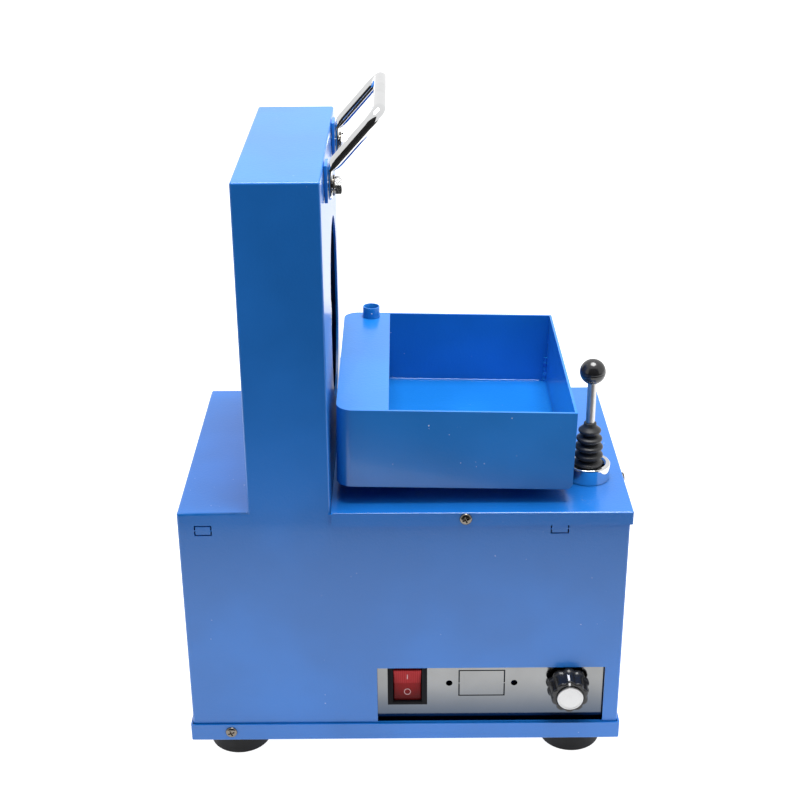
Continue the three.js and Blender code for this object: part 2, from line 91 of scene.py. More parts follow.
def centre(node):
    low, high = span(node)
    return (low + high) / 2


# node materials


class Wire:
    # a socket that Python's operators work on

    def __init__(self, look, socket):
        self.look = look
        self.socket = socket

    def maths(self, operation, *others):
        inputs = dict(enumerate((self, *others)))
        return self.look.node("ShaderNodeMath", {"operation": operation}, inputs)

    def __add__(self, other):
        return self.maths("ADD", other)

    def __sub__(self, other):
        return self.maths("SUBTRACT", other)

    def __mul__(self, other):
        return self.maths("MULTIPLY", other)

    def __rsub__(self, other):
        return (self * -1) + other

    __radd__ = __add__
    __rmul__ = __mul__


class Finish:
    # a material built from nodes; node() adds any node

    def __init__(self, name):
        self.material = bpy.data.materials.new(name)
        self.material.use_nodes = True
        self.tree = self.material.node_tree
        self.shader = self.tree.nodes["Principled BSDF"]

    def node(self, kind, settings=None, inputs=None, output=0):
        made = self.tree.nodes.new(kind)
        for key, value in (settings or {}).items():
            setattr(made, key, value)
        for key, value in (inputs or {}).items():
            self.feed(made.inputs[key], value)
        return Wire(self, made.outputs[output])

    def feed(self, socket, value):
        if isinstance(value, Wire):
            self.tree.links.new(value.socket, socket)
        else:
            socket.default_value = value

    def place(self):
        return self.node("ShaderNodeTexCoord", output="Object")

    def noise(self, scale, detail=2.0, rough=0.5, stretch=(1, 1, 1)):
        vector = self.node("ShaderNodeMapping", inputs={"Vector": self.place(), "Scale": stretch})
        inputs = {"Vector": vector, "Scale": scale, "Detail": detail, "Roughness": rough}
        return self.node("ShaderNodeTexNoise", inputs=inputs)

    def mix(self, share, first, second):
        inputs = {0: share, 6: first, 7: second}
        return self.node("ShaderNodeMix", {"data_type": "RGBA"}, inputs, 2)

    def ramp(self, value, low, high):
        # 0 below low and 1 above high
        settings = {"interpolation_type": "SMOOTHSTEP"}
        inputs = {"Value": value, "From Min": low, "From Max": high}
        return self.node("ShaderNodeMapRange", settings, inputs)

    def radiusAround(self, part, first, second):
        # distance from a round part's own axis, measured along two axes
        low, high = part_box(part)
        middle = (low + high) / 2
        shift = {"Vector": self.place(), "Location": tuple(-middle)}
        moved = self.node("ShaderNodeMapping", inputs=shift)
        a = self.node("ShaderNodeSeparateXYZ", inputs={0: moved}, output=first)
        b = self.node("ShaderNodeSeparateXYZ", inputs={0: moved}, output=second)
        return (a * a + b * b).maths("SQRT")

    def bump(self, height, depth):
        return self.node("ShaderNodeBump", inputs={"Height": height, "Distance": depth})

    def surface(self, **sockets):
        for key, value in sockets.items():
            self.feed(self.shader.inputs[key.replace("_", " ")], value)
        return self.material


def grey(value):
    return (value, value, value, 1)


paintLook = {
    "body": (0.007, 0.148, 0.53, 1),
    # the tray's blue is the body's blue painted a little lighter: painted light for the brightly lit tray
    "tray": (0.007, 0.170, 0.56, 1),
    "roughness": 0.30,
    "peelSize": 650,  # noise waves per metre
    "peelDepth": 0.00009,
    "speckSize": 420,
}


def paint(name, colour, specks):
    look = Finish(name)
    broad = look.noise(9, 3)
    peel = look.noise(paintLook["peelSize"], 2)
    dust = look.noise(paintLook["speckSize"], 1, 0.4)
    where = look.noise(14, 2)
    speck = look.ramp(dust, 0.79, 0.81) * look.ramp(where, 0.48, 0.62) * specks
    deep = tuple(c * 0.90 for c in colour[:3]) + (1,)
    light = tuple(min(1, c * 1.10 + 0.002) for c in colour[:3]) + (1,)
    base = look.mix(look.ramp(broad, 0.35, 0.65), deep, light)
    base = look.mix(speck, base, (0.55, 0.65, 0.80, 1))
    rough = paintLook["roughness"] + (broad - 0.5) * 0.10 + speck * 0.25
    height = peel + speck * 0.8
    return look.surface(
        Base_Color=base,
        Roughness=rough,
        Normal=look.bump(height, paintLook["peelDepth"]),
        IOR=1.5,
        Coat_Weight=0.25,
        Coat_Roughness=0.08,
    )


def satinSteel():
    look = Finish("satin_stainless_painted_reflection")
    grain = look.noise(60, 4, 0.6, (1, 1, 26))
    smear = look.noise(18, 3)
    rough = 0.07 + grain * 0.05 + smear * 0.03
    height = look.node("ShaderNodeSeparateXYZ", inputs={0: look.place()}, output="Z")
    low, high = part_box("control_panel")
    # the panel is painted darker and bluer towards its bottom: a painted reflection of the blue base lip's
    # shaded inside face
    upper = look.mix(look.ramp(smear, 0.3, 0.7), (0.185, 0.188, 0.188, 1), (0.24, 0.243, 0.243, 1))
    share = look.ramp(height, low.z + 0.008, high.z - 0.018)
    toneWithPaintedReflection = look.mix(share, (0.065, 0.085, 0.12, 1), upper)
    return look.surface(
        Base_Color=toneWithPaintedReflection, Metallic=1.0, Roughness=rough, Normal=look.bump(grain, 0.000004)
    )


def metal(name, colour, roughness, wear=0.06, grainSize=300, grainDepth=0.000006):
    look = Finish(name)
    smear = look.noise(40, 3)
    grain = look.noise(grainSize, 2)
    dull = tuple(c * 0.86 for c in colour[:3]) + (1,)
    return look.surface(
        Base_Color=look.mix(look.ramp(smear, 0.35, 0.7), colour, dull),
        Metallic=1.0,
        Roughness=roughness + (smear - 0.5) * wear * 2,
        Normal=look.bump(grain, grainDepth),
    )


def spunCap():
    # fine rings around the knob's own axis
    look = Finish("spun_aluminium")
    radius = look.radiusAround("knob_cap", "X", "Z")
    rings = (radius * 14000).maths("SINE") * 0.5 + 0.5
    return look.surface(
        Base_Color=look.mix(rings, (0.40, 0.40, 0.40, 1), (0.54, 0.54, 0.54, 1)),
        Metallic=1.0,
        Roughness=0.30 + rings * 0.10,
        Normal=look.bump(rings, 0.000006),
    )


def moulded(name, colour, roughness, grainSize=900, grainDepth=0.000012, coat=0.0, ior=1.45):
    look = Finish(name)
    grain = look.noise(grainSize, 2)
    cloud = look.noise(30, 3)
    worn = tuple(min(1, c * 1.35 + 0.004) for c in colour[:3]) + (1,)
    return look.surface(
        Base_Color=look.mix(look.ramp(cloud, 0.4, 0.75), colour, worn),
        Roughness=roughness + (cloud - 0.5) * 0.12,
        Normal=look.bump(grain, grainDepth),
        Coat_Weight=coat,
        Coat_Roughness=0.12,
        IOR=ior,
    )


def rubberFinish(name, colour, roughness, dusty, ior):
    look = Finish(name)
    grain = look.noise(1400, 3)
    dust = look.noise(120, 4)
    pale = tuple(c + 0.045 for c in colour[:3]) + (1,)
    return look.surface(
        Base_Color=look.mix(look.ramp(dust, 0.45, 0.75) * dusty, colour, pale),
        Roughness=roughness + (dust - 0.5) * 0.2,
        Normal=look.bump(grain, 0.00003),
        IOR=ior,
    )


def rockerPlastic():
    # clear red: the pressed lower half is painted darker downwards as painted shade; the upper half is
    # ribbed and painted lighter as a painted reflection of the bright floor
    look = Finish("red_rocker")
    low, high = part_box("switch_rocker")
    middle = (low.z + high.z) / 2
    across = look.node("ShaderNodeSeparateXYZ", inputs={0: look.place()}, output="X")
    height = look.node("ShaderNodeSeparateXYZ", inputs={0: look.place()}, output="Z")
    ribs = (across * 5200).maths("SINE") * 0.5 + 0.5
    upper = look.mix(ribs, (0.30, 0.010, 0.013, 1), (0.42, 0.030, 0.034, 1))
    lower = look.mix(look.ramp(height, low.z, middle), (0.09, 0.002, 0.003, 1), (0.24, 0.006, 0.008, 1))
    lit = look.ramp(height, middle - 0.0004, middle + 0.0004)
    return look.surface(
        Base_Color=look.mix(lit, lower, upper),
        Roughness=0.28 + ribs * 0.05,
        Normal=look.bump(ribs * lit, 0.00001),
        IOR=1.2,
    )


def abrasiveFinish():
    # grit, paler in the ring where stones wear it
    look = Finish("abrasive_lap")
    grit = look.noise(2600, 2)
    radius = look.radiusAround("lap_disc", "Y", "Z")
    wear = look.ramp(radius, 0.030, 0.045) * (1 - look.ramp(radius, 0.055, 0.064))
    track = look.noise(900, 2)
    return look.surface(
        Base_Color=look.mix(wear * track, (0.012, 0.012, 0.013, 1), (0.05, 0.05, 0.052, 1)),
        Roughness=0.72 - wear * 0.12,
        Normal=look.bump(grit, 0.00006),
    )


def boardFinish():
    look = Finish("circuit_board")
    inputs = {
        "Vector": look.place(), "Scale": 90, "Mortar Size": 0.03,
        "Color1": grey(0), "Color2": grey(0.2), "Mortar": grey(1),
    }
    tracks = look.node("ShaderNodeTexBrick", {"offset": 0.5}, inputs)
    share = look.node("ShaderNodeRGBToBW", inputs={0: tracks})
    return look.surface(
        Base_Color=look.mix(share, (0.02, 0.13, 0.05, 1), (0.06, 0.30, 0.12, 1)),
        Roughness=0.35 + share * 0.1,
        Normal=look.bump(share, 0.00002),
    )


bodyPaint = paint("body_powder_coat", paintLook["body"], 0.5)
trayPaintLit = paint("tray_powder_coat_painted_light", paintLook["tray"], 1.0)
steelSheet = satinSteel()
chromePlate = metal("chrome_plate", (0.73, 0.735, 0.74, 1), 0.06, 0.02, 120, 0.000002)
rodSteel = metal("rod_steel", (0.62, 0.61, 0.60, 1), 0.30, 0.04, 200, 0.000003)
zincPlate = metal("dark_zinc", (0.19, 0.17, 0.145, 1), 0.24, 0.1)
plainSteel = metal("plain_steel", (0.55, 0.55, 0.56, 1), 0.30, 0.08)
ironFinish = moulded("cast_iron", (0.035, 0.037, 0.04, 1), 0.55, 700, 0.00008)
turnedAluminium = metal("turned_aluminium", (0.76, 0.77, 0.79, 1), 0.32, 0.06, 500, 0.00001)
capFinish = spunCap()
blackPlastic = moulded("black_plastic", (0.006, 0.006, 0.008, 1), 0.45, ior=1.15)
knobPlastic = moulded("knob_plastic", (0.010, 0.010, 0.011, 1), 0.24, 1200, 0.000006, ior=1.46)
ballGloss = moulded("polished_ball", (0.008, 0.008, 0.009, 1), 0.20, 300, 0.000001, 0.3)
redPlastic = rockerPlastic()
markWhite = moulded("white_mark", (0.74, 0.74, 0.74, 1), 0.45)
markFaded = moulded("faded_mark", (0.50, 0.30, 0.31, 1), 0.45)
bellowsRubber = rubberFinish("bellows_rubber", (0.016, 0.017, 0.019, 1), 0.42, 0.4, 1.5)
footRubber = rubberFinish("foot_rubber", (0.007, 0.007, 0.008, 1), 0.62, 0.15, 1.25)
lapFinish = abrasiveFinish()
boardGreen = boardFinish()
print("finishes ready")


# mesh helpers, in the maker's axes


def cadCopy(node):
    # a welded copy of a CAD node's mesh, in the maker's axes
    bm = bmesh.new()
    bm.from_mesh(nodes[node].data)
    bmesh.ops.remove_doubles(bm, verts=bm.verts, dist=1e-6)
    bmesh.ops.transform(bm, matrix=fromFrame, verts=bm.verts)
    bmesh.ops.dissolve_limit(bm, angle_limit=radians(0.5), verts=bm.verts, edges=bm.edges)
    return bm


def roundOff(bm, edges, radius, segments=3):
    bmesh.ops.bevel(
        bm, geom=list(edges), offset=radius, offset_type="OFFSET", affect="EDGES",
        segments=segments, profile=0.5, material=-1, clamp_overlap=True,
    )


def sharp(edge, limit=30):
    return len(edge.link_faces) == 2 and edge.calc_face_angle(0) > radians(limit)


def roundAll(bm, radius, segments=2, limit=30):
    roundOff(bm, [e for e in bm.edges if sharp(e, limit)], radius, segments)


def weldOutward(bm):
    bmesh.ops.remove_doubles(bm, verts=bm.verts, dist=1e-4)
    bmesh.ops.recalc_face_normals(bm, faces=bm.faces)


def make(name, bm, look, body, stands=(), smooth=32, flat=False):
    # turns a bmesh in the maker's axes into a finished piece of the machine
    bmesh.ops.transform(bm, matrix=toFrame, verts=bm.verts)
    mesh = bpy.data.meshes.new(name)
    bm.to_mesh(mesh)
    bm.free()
    mesh.materials.append(look)
    mesh.polygons.foreach_set("use_smooth", [True] * len(mesh.polygons))
    mesh.set_sharp_from_angle(angle=radians(smooth))
    piece = bpy.data.objects.new(name, mesh)
    scene.collection.objects.link(piece)
    if flat:
        evener = piece.modifiers.new("flat_faces", "WEIGHTED_NORMAL")
        evener.keep_sharp = True
    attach(piece, body)
    if stands:
        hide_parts(*stands)
    return piece


def cuboid(bm, low, high):
    made = bmesh.ops.create_cube(bm, size=1)
    size = Vector(high) - Vector(low)
    middle = (Vector(high) + Vector(low)) / 2
    matrix = Matrix.Translation(middle) @ Matrix.Diagonal((*size, 1))
    bmesh.ops.transform(bm, matrix=matrix, verts=made["verts"])
    return made["verts"]


def turnedVerts(bm, profile, matrix, steps=48):
    # spins a profile of (radius, height) around +Z, then carries it by a matrix
    chain = [bm.verts.new((radius, 0, height)) for radius, height in profile]
    edges = [bm.edges.new(pair) for pair in zip(chain, chain[1:])]
    before = set(bm.verts) - set(chain)
    bmesh.ops.spin(
        bm, geom=chain + edges, cent=(0, 0, 0), axis=(0, 0, 1), dvec=(0, 0, 0), angle=2 * pi, steps=steps,
        use_merge=True, use_normal_flip=False, use_duplicate=False,
    )
    made = [v for v in bm.verts if v not in before]
    bmesh.ops.remove_doubles(bm, verts=made, dist=1e-4)
    made = [v for v in bm.verts if v not in before]
    bmesh.ops.transform(bm, matrix=matrix, verts=made)
    return made


def arc(cx, cy, radius, start, stop, steps=6):
    # points along a round stretch of a profile, angles in degrees
    turns = [radians(start + (stop - start) * i / steps) for i in range(steps + 1)]
    return [(cx + radius * cos(t), cy + radius * sin(t)) for t in turns]


def pointing(place, axis):
    # carries +Z to an axis at a place
    return Matrix.Translation(Vector(place)) @ Vector(axis).to_track_quat("Z", "Y").to_matrix().to_4x4()


def turnedPiece(name, profile, place, axis, look, body, stands=(), steps=48, smooth=32):
    bm = bmesh.new()
    turnedVerts(bm, profile, pointing(place, axis), steps)
    weldOutward(bm)
    return make(name, bm, look, body, stands, smooth)


def softSquare(angle, halfA, halfB, power):
    # a point on an outline between an ellipse (power 2) and a rectangle (high powers)
    def along(value):
        return (abs(value) ** (2 / power)) * (1 if value >= 0 else -1)

    return Vector((halfA * along(cos(angle)), halfB * along(sin(angle)), 0))


def ringSweep(bm, stations, sides=24):
    # stations: place, direction, half thickness, half width, squareness
    previous = None
    across = Vector((1, 0, 0))
    for place, along, halfA, halfB, power in stations:
        ring = bmesh.ops.create_circle(bm, segments=sides, radius=1)["verts"]
        along = along.normalized()
        level = Vector((0, 1, 0)).cross(along)
        if level.length >= 0.5:  # where the line runs along Y the last ring's direction is kept
            across = level
        across = (across - along * across.dot(along)).normalized()
        side = along.cross(across)
        turn = Matrix((across, side, along)).transposed().to_4x4()
        for step, vert in enumerate(ring):
            local = softSquare(2 * pi * step / sides, halfA, halfB, power)
            vert.co = Vector(place) + (turn @ local)
        edges = list({e for v in ring for e in v.link_edges})
        if previous:
            bmesh.ops.bridge_loops(bm, edges=previous + edges)
        else:
            bmesh.ops.edgeloop_fill(bm, edges=edges)
        previous = edges
    bmesh.ops.edgeloop_fill(bm, edges=previous)


def cutWith(bm, cutter, operation="DIFFERENCE"):
    # the first solid cut by (or shared with) the second, as a new bmesh
    holders = []
    for source in (bm, cutter):
        mesh = bpy.data.meshes.new("cut")
        source.to_mesh(mesh)
        source.free()
        holder = bpy.data.objects.new("cut", mesh)
        scene.collection.objects.link(holder)
        holders.append(holder)
    target, tool = holders
    modifier = target.modifiers.new("cut", "BOOLEAN")
    modifier.operation = operation
    modifier.solver = "EXACT"
    modifier.object = tool
    bpy.context.view_layer.update()
    result = bmesh.new()
    result.from_object(target, bpy.context.evaluated_depsgraph_get())
    for holder in holders:
        mesh = holder.data
        bpy.data.objects.remove(holder)
        bpy.data.meshes.remove(mesh)
    return result


# sheet metal

sheetLook = {"bend": 3.2, "panBend": 1.0, "edge": 0.25, "plateEdge": 0.35}
casingSpan = span("casing")
deckLevel = span("deck_cover")[1].z
towerTop = casingSpan[1].z
towerRight = span("deck_cover")[0].x - 0.3
towerLeft = min(v.co.x for v in cadCopy("casing").verts if v.co.z > towerTop - 0.01)


def onPlanes(edge, planes):
    # how many of the planes (axis, value) hold both ends of an edge
    near = 0.02
    return sum(all(abs(v.co[axis] - value) < near for v in edge.verts) for axis, value in planes)


def outerEdges(bm, planes, shared):
    # the outward corners that lie on at least so many of the planes
    return [e for e in bm.edges if sharp(e) and e.is_convex and onPlanes(e, planes) >= shared]


def buildCasing():
    bm = cadCopy("casing")
    low, high = casingSpan
    planes = [(0, low.x), (0, high.x), (1, low.y), (1, high.y)]
    planes += [(2, deckLevel), (2, towerTop), (0, towerLeft), (0, towerRight)]
    roundOff(bm, outerEdges(bm, planes, 2), sheetLook["bend"], 4)
    return make("casing_sheet", bm, bodyPaint, "frame", ["casing"], flat=True)


def buildPan():
    bm = cadCopy("base_pan")
    low, high = span("base_pan")
    planes = [(0, low.x), (0, high.x), (1, low.y), (1, high.y), (2, low.z)]
    roundOff(bm, outerEdges(bm, planes, 2), sheetLook["panBend"], 3)
    roundOff(bm, outerEdges(bm, [(2, high.z)], 1), sheetLook["edge"], 2)
    return make("base_pan_sheet", bm, bodyPaint, "frame", ["base_pan"], flat=True)


def buildDeckCover():
    bm = cadCopy("deck_cover")
    low, high = span("deck_cover")
    planes = [(0, high.x), (1, low.y), (1, high.y), (2, high.z)]
    roundOff(bm, outerEdges(bm, planes, 2), sheetLook["panBend"], 3)
    return make("deck_cover_sheet", bm, bodyPaint, "frame", ["deck_cover"], flat=True)


buildCasing()
buildPan()
buildDeckCover()
for flat in ("tower_cover", "handle_tab_front", "handle_tab_rear"):
    bm = cadCopy(flat)
    roundAll(bm, sheetLook["plateEdge"])
    make(flat + "_plate", bm, bodyPaint, "frame", [flat])
bm = cadCopy("control_panel")
make("control_panel_sheet", bm, steelSheet, "frame", ["control_panel"], flat=True)
print("sheet metal ready")


# cross-head screws

screwLook = {"radius": 3.8, "rise": 1.7, "slot": 0.95, "slotLength": 4.4, "slotDepth": 1.3, "turn": 20}


def screwHead(place, axis, name, node):
    radius = screwLook["radius"]
    rise = screwLook["rise"]
    profile = [(0, -3), (1.5, -3), (1.5, 0.02), (radius, 0.02), (radius, 0.35)]
    profile += [(radius - 0.25, 0.9), (radius - 1.0, 1.38), (radius - 2.1, rise - 0.06), (0, rise)]
    bm = bmesh.new()
    turnedVerts(bm, profile, Matrix.Identity(4), 32)
    weldOutward(bm)
    half = screwLook["slotLength"] / 2
    wide = screwLook["slot"] / 2
    for reach in ((half, wide), (wide, half)):
        cutter = bmesh.new()
        cuboid(cutter, (-reach[0], -reach[1], rise - screwLook["slotDepth"]), (reach[0], reach[1], rise + 1))
        bm = cutWith(bm, cutter)
    turn = Matrix.Rotation(radians(screwLook["turn"]), 4, "Z")
    bmesh.ops.transform(bm, matrix=pointing(place, axis) @ turn, verts=bm.verts)
    return make(name, bm, zincPlate, "frame", [node], 40)


outward = {"front": (0, -1, 0), "back": (0, 1, 0), "left": (-1, 0, 0), "right": (1, 0, 0)}
screwSides = {
    "pan_screw_front": "front", "pan_screw_back": "back",
    "pan_screw_left": "left", "pan_screw_right": "right",
    "deck_screw_front": "front", "deck_screw_right": "right",
    "cover_screw_upper": "back", "cover_screw_lower": "back",
}
for node, side in screwSides.items():
    low, high = span(node)
    axis = Vector(outward[side])
    middle = (low + high) / 2
    headTop = middle + axis * abs((high - low).dot(axis)) / 2
    screwHead(headTop - axis * screwLook["rise"], axis, node + "_head", node)
print("screws ready")


# feet and tray bumpers


footLook = {"radius": 21, "recess": (7, 1.6), "treadRound": 2.2}
bumperLook = {"radius": 8, "round": 1.2, "sunk": 0.3}


def standsAt(node):
    # the middle of a CAD node's underside, and how tall the node is
    low, high = span(node)
    return Vector(((low.x + high.x) / 2, (low.y + high.y) / 2, low.z)), high.z - low.z


def buildFoot(node):
    place, tall = standsAt(node)
    radius = footLook["radius"]
    inner, deep = footLook["recess"]
    tread = footLook["treadRound"]
    profile = [(0, deep), (inner, deep), (inner, 0.4), (inner + 1, 0)] + arc(17.6, tread, tread, -90, -10, 6)
    profile += [(radius - 0.4, tall - 1.4), (radius, tall - 0.8), (radius, tall), (0, tall)]
    turnedPiece(node + "_rubber", profile, place, (0, 0, 1), footRubber, "frame", [node], 56)


def buildBumper(node):
    place, tall = standsAt(node)
    sunk = bumperLook["sunk"]
    tall += sunk
    radius = bumperLook["radius"]
    soft = bumperLook["round"]
    profile = [(0, 0), (radius, 0), (radius, tall - soft - 0.3)]
    profile += arc(radius - soft, tall - soft, soft, 0, 90, 4) + [(0, tall)]
    place.z -= sunk
    turnedPiece(node + "_rubber", profile, place, (0, 0, 1), footRubber, "frame", [node], 40)


for stem, build in (("foot", buildFoot), ("tray_bumper", buildBumper)):
    for end in ("front", "rear"):
        for side in ("left", "right"):
            build(f"{stem}_{end}_{side}")
print("feet ready")


# rocker switch

rockerLook = {
    "half": 12.5, "valley": -4.8, "crest": -7.4, "shoulder": 3.0, "tail": 5.0, "bezelEdge": 0.7, "edge": 0.6,
    "markRise": 0.12, "barTall": 4.6, "barWide": 0.6, "ringRadius": 2.2, "ringWide": 0.45,
}
rockerJoint = next(j for j in frame["joints"] if j["name"] == "power_rocker")
rockerPivot = fromFrame @ Vector(rockerJoint["pos_m"])
rockerRest = radians(-rockerJoint["range_deg"][0]) / 2


def buildSwitch():
    bm = cadCopy("switch_housing")
    front = span("switch_housing")[0].y
    roundOff(bm, outerEdges(bm, [(1, front)], 1), rockerLook["bezelEdge"], 3)
    make("switch_bezel", bm, blackPlastic, "frame", ["switch_housing"])

    low, high = span("switch_rocker")
    halfWide = (high.x - low.x) / 2
    half = rockerLook["half"]
    valley = rockerLook["valley"]
    crest = rockerLook["crest"]
    shoulder = rockerLook["shoulder"]
    tail = rockerLook["tail"]
    bm = bmesh.new()
    outline = [(valley, 0), (crest, half), (-shoulder, half), (shoulder, tail)]
    outline += [(shoulder, -tail), (-shoulder, -half), (crest, -half)]
    loop = [bm.verts.new((-halfWide, y, z)) for y, z in outline]
    face = bm.faces.new(loop)
    grown = bmesh.ops.extrude_face_region(bm, geom=[face])["geom"]
    far = [g for g in grown if isinstance(g, bmesh.types.BMVert)]
    bmesh.ops.translate(bm, vec=(2 * halfWide, 0, 0), verts=far)
    weldOutward(bm)
    crestEdges = [e for e in bm.edges if sharp(e) and all(v.co.y < 0.1 - shoulder for v in e.verts)]
    roundOff(bm, crestEdges, rockerLook["edge"], 3)
    tilt = Matrix.Translation(rockerPivot) @ Matrix.Rotation(rockerRest, 4, "X")
    bmesh.ops.transform(bm, matrix=tilt, verts=bm.verts)
    make("rocker_button", bm, redPlastic, "rocker", ["switch_rocker"], 40)

    slope = atan2(valley - crest, half)
    rise = rockerLook["markRise"]
    for name, up in (("mark_on", 1), ("mark_off", -1)):
        bm = bmesh.new()
        if up > 0:
            reach = Vector((rockerLook["barWide"] / 2, rise, rockerLook["barTall"] / 2))
            cuboid(bm, -reach, reach)
        else:
            radius = rockerLook["ringRadius"]
            hollow = radius - rockerLook["ringWide"]
            profile = [(hollow, -rise), (radius, -rise), (radius, rise), (hollow, rise), (hollow, -rise)]
            turnedVerts(bm, profile, pointing((0, 0, 0), (0, -1, 0)), 40)
            weldOutward(bm)
        faceMiddle = Vector((0, (valley + crest) / 2, up * half * 0.5))
        local = Matrix.Translation(faceMiddle) @ Matrix.Rotation(slope * up, 4, "X")
        bmesh.ops.transform(bm, matrix=tilt @ local, verts=bm.verts)
        make("rocker_" + name, bm, markFaded, "rocker", (), 40)


buildSwitch()
print("switch ready")


# speed knob

knobLook = {"lobes": 10, "lobeDepth": 1.1, "pointerTurn": 4.0, "pointerWide": 1.3}


def buildKnob():
    low, high = span("speed_knob")
    axisX = (low.x + high.x) / 2
    axisZ = (low.z + high.z) / 2
    back = high.y
    face = back - low.y
    towards = pointing((axisX, back, axisZ), (0, -1, 0))
    profile = [(3.3, 0), (13.0, 0), (13.6, 0.5), (13.7, 1.4), (13.6, 2.6), (13.1, 3.2), (12.5, 4.4)]
    profile += [(12.2, 7), (11.9, 10)] + arc(10.6, face - 1.4, 1.2, 0, 90, 4)
    profile += [(9.0, face - 0.2), (8.7, face - 0.7), (0, face - 0.7)]
    bm = bmesh.new()
    verts = turnedVerts(bm, profile, Matrix.Identity(4), 120)
    for vert in verts:
        radius = hypot(vert.co.x, vert.co.y)
        if radius > 9.5:
            lobe = 0.5 - 0.5 * cos(knobLook["lobes"] * atan2(vert.co.y, vert.co.x))
            shrink = 1 - knobLook["lobeDepth"] * (1 - lobe) ** 2 * min(1, (radius - 9.5) / 1.5) / radius
            vert.co.x *= shrink
            vert.co.y *= shrink
    weldOutward(bm)
    bmesh.ops.transform(bm, matrix=towards, verts=bm.verts)
    make("knob_grip", bm, knobPlastic, "knob", ["speed_knob"], 38)

    bm = bmesh.new()
    wide = knobLook["pointerWide"] / 2
    cuboid(bm, (-wide, 8.9, face - 0.32), (wide, 11.0, face - 0.12))
    cuboid(bm, (-wide, 11.55, 3.6), (wide, 12.25, face - 1.6))
    turn = Matrix.Rotation(radians(knobLook["pointerTurn"]), 4, "Z")
    upright = Matrix.Rotation(pi, 4, "Z") if (towards @ Vector((0, 1, 0))).z < axisZ else Matrix.Identity(4)
    bmesh.ops.transform(bm, matrix=towards @ upright @ turn, verts=bm.verts)
    make("knob_pointer", bm, markWhite, "knob", (), 30)

    low, high = span("knob_cap")
    thick = high.y - low.y + 0.9
    profile = [(0, 0), (7.9, 0), (8.2, 0.3), (8.2, thick - 0.35), (7.9, thick), (7.2, thick)]
    profile += [(7.0, thick - 0.18), (1.1, thick - 0.18), (0, thick - 0.05)]
    place = (axisX, low.y + thick, axisZ)
    turnedPiece("knob_cap_disc", profile, place, (0, -1, 0), capFinish, "knob", ["knob_cap"], 64)


buildKnob()
print("knob ready")


# joystick

stickLook = {"folds": [9.1, 9.0, 8.8, 8.1, 7.1], "neck": 3.9}
stickJoint = next(j for j in frame["joints"] if j["name"] == "joystick_tilt")
stickPivot = fromFrame @ Vector(stickJoint["pos_m"])


def buildJoystick():
    low, high = span("joystick_collar")
    tall = high.z - low.z + 0.3
    base = (stickPivot.x, stickPivot.y, low.z - 0.3)
    profile = [(9.4, 0), (13.5, 0), (13.8, 0.3), (13.8, tall - 1.6)] + arc(13.0, tall - 0.8, 0.8, 0, 90, 5)
    profile += [(11.2, tall - 0.1), (10.0, tall - 1.0), (9.4, tall - 2.4), (9.4, 0)]
    collar = ["joystick_collar"]
    turnedPiece("collar_ring", profile, base, (0, 0, 1), chromePlate, "frame", collar, 72)

    low, high = span("joystick_bellows")
    foot = low.z - 3.6
    rise = (high.z - 2.6 - foot) / len(stickLook["folds"])
    outer = [(stickLook["folds"][0] - 1.2, 0)]
    for i, radius in enumerate(stickLook["folds"]):
        middle = rise * (i + 0.5)
        outer += arc(radius - 1.35, middle, 1.35, -62, 62, 6)
        nextRadius = stickLook["folds"][min(i + 1, len(stickLook["folds"]) - 1)]
        outer.append((min(radius, nextRadius) - 2.7, rise * (i + 1)))
    top = rise * len(stickLook["folds"])
    outer[-1] = (stickLook["neck"] + 0.9, top - 0.2)
    neck = stickLook["neck"]
    outer += [(neck + 0.1, top + 0.7), (neck, top + 2.3), (neck - 0.3, top + 2.6)]
    inner = [(2.95, top + 2.6), (2.95, top - 1.5), (4.6, top * 0.4), (5.6, 0), outer[0]]
    bm = bmesh.new()
    turnedVerts(bm, outer + inner, Matrix.Translation((stickPivot.x, stickPivot.y, foot)), 64)
    weldOutward(bm)
    bellows = make("bellows_rubber_boot", bm, bellowsRubber, "frame", ["joystick_bellows"], 60)
    bellows.parent = None
    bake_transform(bellows)

    low, high = span("joystick_ball")
    radius = (high.x - low.x) / 2
    middle = Vector((stickPivot.x, stickPivot.y, high.z - radius))
    lower = arc(0, 0, radius, -66, -1.2, 16)
    upper = arc(0, 0, radius, 1.2, 90, 20)
    flat = lower[0][1]
    profile = [(0, flat + 1.2), (2.95, flat + 1.2), (2.95, flat), *lower, (radius - 0.1, 0), *upper[:-1]]
    profile.append((0, radius))
    ball = ["joystick_ball"]
    turnedPiece("ball_grip", profile, middle, (0, 0, 1), ballGloss, "joystick", ball, 64, 50)

    low, high = span("joystick_lever")
    tall = high.z - low.z
    rod = [(0, 0), (2.4, 0), (2.8, 0.4), (2.8, tall - 0.3), (2.5, tall), (0, tall)]
    boss = [(2.3, -7.5), (4.2, -7.5), (4.5, -7.2), (4.5, 7.2), (4.2, 7.5), (2.3, 7.5), (2.3, -7.5)]
    bm = bmesh.new()
    turnedVerts(bm, rod, Matrix.Translation((stickPivot.x, stickPivot.y, low.z)), 32)
    turnedVerts(bm, boss, pointing(stickPivot, (1, 0, 0)), 32)
    weldOutward(bm)
    make("lever_rod", bm, rodSteel, "joystick", ["joystick_lever"], 40)


buildJoystick()
print("joystick ready")


# water tray

trayLook = {
    "size": (143.5, 161, 51), "wall": 1.5, "strip": 30.0, "leftCorner": 10.0,
    "lowRight": 4.0, "lowEnd": 2.2, "spigot": (18.5, 154), "bead": 0.9,
}


def trayPlace():
    # the tray leans about Y: its corner and its lean follow from its box
    low, high = span("water_tray")
    wide, deep, tall = trayLook["size"]
    lean = asin((high.x - low.x) / hypot(wide, tall)) - atan2(wide, tall)
    corner = Matrix.Translation((low.x, low.y, low.z + wide * sin(lean)))
    return corner @ Matrix.Rotation(lean, 4, "Y")


